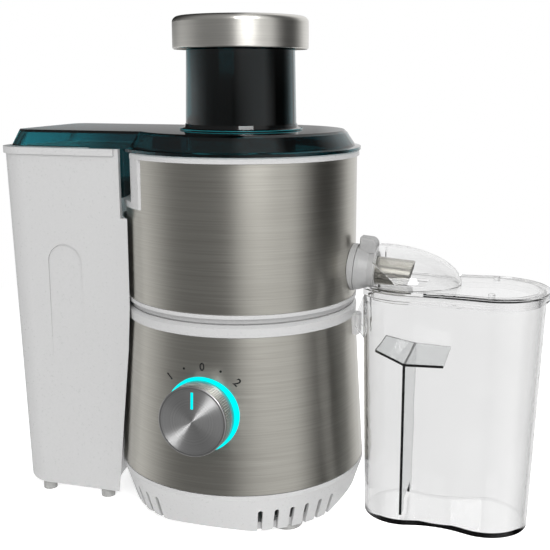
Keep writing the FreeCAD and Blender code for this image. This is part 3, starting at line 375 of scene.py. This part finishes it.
# satin grey ABS moulding: even mid grey
grey_abs = surface("grey_abs", "9A9A9A", "9E9E9E", 1.6, (0.34, 0.4), bump=0.012)
dress(white_abs, "white_plastic", "bowl_shell")
dress(brushed_steel, "brushed_steel", "bowl_cladding")
dress(grey_abs, "grey_plastic", "bowl_band")


# ---- spout -------------------------------------------------------------------------------------
# Steel spout tube pushed through a grey moulded bush in the bowl's wall, with a grey anti-drip
# collar that turns on it by a thumb tab and a rubber seal behind.

# drawn steel tube: smoother than the sleeves, with faint lines along its length
tube_steel = surface("drawn_stainless", "A4A29A", "B2B0A8", 30, (0.2, 0.28), (1, 8, 8), 0.03,
                     Metallic=1.0)
dress(grey_abs, "grey_plastic", "spout_bush", "spout_collar")
dress(tube_steel, "brushed_steel", "spout_nozzle")
dress(grey_rubber, "rubber", "spout_seal")


# ---- sieve basket ------------------------------------------------------------------------------
# White moulded basket frame with an etched steel sieve and a stamped grater disc, held on the
# drive by a black nut.

# etched and stamped stainless: bright, with fine unevenness
sieve_steel = surface("stamped_stainless", "B0B0AE", "C8C8C6", 2, (0.2, 0.34), bump=0.1,
                      Metallic=1.0)
dress(white_abs, "basket_plastic", "basket_hub", "basket_rim")
dress(sieve_steel, "sieve_steel", "filter_mesh", "grater_disc")
dress(black_nylon, "black_plastic", "clamp_nut")


# ---- lid ---------------------------------------------------------------------------------------
# Injection-moulded smoked acrylic with its feed chute and the arm over the bin; almost black
# across its faces, with teal where light travels along an edge.

# smoked acrylic: mirror-smooth and nearly black over the bowl; its tint is painted lighter and bluer out
# along the arm, a painted glow for the light that comes up through the arm from the white bin
smoked = surface("smoked_acrylic", "1C5A62", "20626A", 40, (0.03, 0.05), Transmission_Weight=1.0,
                 IOR=1.49)
ARM_END_X, ARM_ROOT_X = -0.18, -0.10
tree = smoked.node_tree
where = add_node(tree, "ShaderNodeTexCoord")
along = add_node(tree, "ShaderNodeSeparateXYZ", links={0: where.outputs["Object"]})
share = add_node(tree, "ShaderNodeMapRange", {"From Min": ARM_END_X, "From Max": ARM_ROOT_X},
                 {"Value": along.outputs[0]})
# painted light: pale teal at the arm's end, fading to the plain smoked tint at its root
set_stops(tree.nodes["tint"], [(0.0, srgb("54C0CA")), (1.0, srgb("1C5A62"))])
tree.links.new(share.outputs["Result"], tree.nodes["tint"].inputs["Fac"])
# light passes the thin lid, so what lies under it is not left in its shadow
NODES["lid"].visible_shadow = False
dress(smoked, "smoked_plastic", "lid")
dress(grey_rubber, "rubber", "lid_seal")

# a thin teal ring round the chute's foot with a faint glow: a painted highlight for the light that
# leaves the acrylic there as a thin teal line
edge_glow_paint = surface("acrylic_with_painted_edge_glow", "14646C", "1B8A94", 30, (0.08, 0.14),
                       Transmission_Weight=0.3, Emission_Color=srgb("1ED2DC"),
                       Emission_Strength=0.03)
CHUTE_FOOT_RADIUS = 0.0423
CHUTE_FOOT_Z = 0.26765
BEAD_RADIUS = 0.00028
bpy.ops.object.select_all(action="DESELECT")
bpy.ops.mesh.primitive_torus_add(location=(SPINDLE.x, SPINDLE.y, CHUTE_FOOT_Z),
                                 major_radius=CHUTE_FOOT_RADIUS, minor_radius=BEAD_RADIUS,
                                 major_segments=160, minor_segments=10)
bead = bpy.context.object
bead.name = "chute_foot_painted_highlight"
bpy.ops.object.transform_apply(location=True, rotation=True, scale=True)
bpy.ops.object.shade_smooth()
bead.data.materials.append(edge_glow_paint)
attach(bead, "lid")


# ---- pusher ------------------------------------------------------------------------------------
# Hollow plunger moulded in dark smoked acrylic, closed by a spun steel cap with rolled edges that
# is pressed over a black plate.

# dark smoked acrylic: glossy black-green, with only its edges letting light by
dark_smoke = surface("dark_smoked_acrylic", "0A1C1E", "0C2224", 40, (0.04, 0.06),
                     Transmission_Weight=1.0, IOR=1.49)
# the cap's steel is spun round the same axis as the sleeves, in lines as coarse and a little smoother;
# its colour is painted paler than theirs, a painted brightness for the light the cap catches
cap_steel_painted_bright = surface("spun_stainless", "DAD8D2", "E4E2DC", 60, (0.28, 0.32), (1, 1, 70), 0.01, "Z",
                    Metallic=1.0, Anisotropic=0.4)
dress(dark_smoke, "smoked_dark", "pusher_body")
dress(black_nylon, "black_plastic", "pusher_cap_plate")
dress(cap_steel_painted_bright, "brushed_steel", "pusher_cap")


# ---- pulp bin ----------------------------------------------------------------------------------
# White moulded bin with a rolled rim and a hollow that takes the bowl, of the same satin ABS as
# the base, on four small rubber pads.

dress(white_abs, "white_plastic", "pulp_bin")
dress(grey_rubber, "rubber", "bin_feet")


# ---- juice jug ---------------------------------------------------------------------------------
# Clear moulded two-lobed jug with its clear hooded lid dropped on, and a smoky foam separator
# that slides down inside.

# clear styrene: colourless, with dark and bright lines where its walls curve away
clear = surface("clear_styrene", "FBFBFB", "FEFEFE", 60, (0.01, 0.02), Transmission_Weight=1.0,
                IOR=1.45)
# lightly smoked styrene; its narrow cut edges, which face -Y, are painted near-black, a painted shade
# for the dark look of a clear sheet seen edge-on
smoke_clear = surface("smoky_styrene_painted_edge_shade", "CCCECE", "D6D8D8", 60, (0.02, 0.04),
                      Transmission_Weight=1.0, IOR=1.45)
tree = smoke_clear.node_tree
where = add_node(tree, "ShaderNodeTexCoord")
facing = add_node(tree, "ShaderNodeSeparateXYZ", links={0: where.outputs["Normal"]})
edge_shade_mask = add_node(tree, "ShaderNodeMapRange", {"From Min": -0.8, "From Max": -0.7},
                {"Value": facing.outputs[1]})
# painted shade: faces turned to -Y get near-black, the rest the pale smoky tint
set_stops(tree.nodes["tint"], [(0.0, srgb("0C0D0D")), (1.0, srgb("D4D6D6"))])
tree.links.new(edge_shade_mask.outputs["Result"], tree.nodes["tint"].inputs["Fac"])
dress(clear, "clear_plastic", "jug", "jug_lid")
dress(smoke_clear, "clear_baffle", "foam_separator")
# clear walls let the light through to the table
for name in ("jug", "jug_lid", "foam_separator"):
    NODES[name].visible_shadow = False
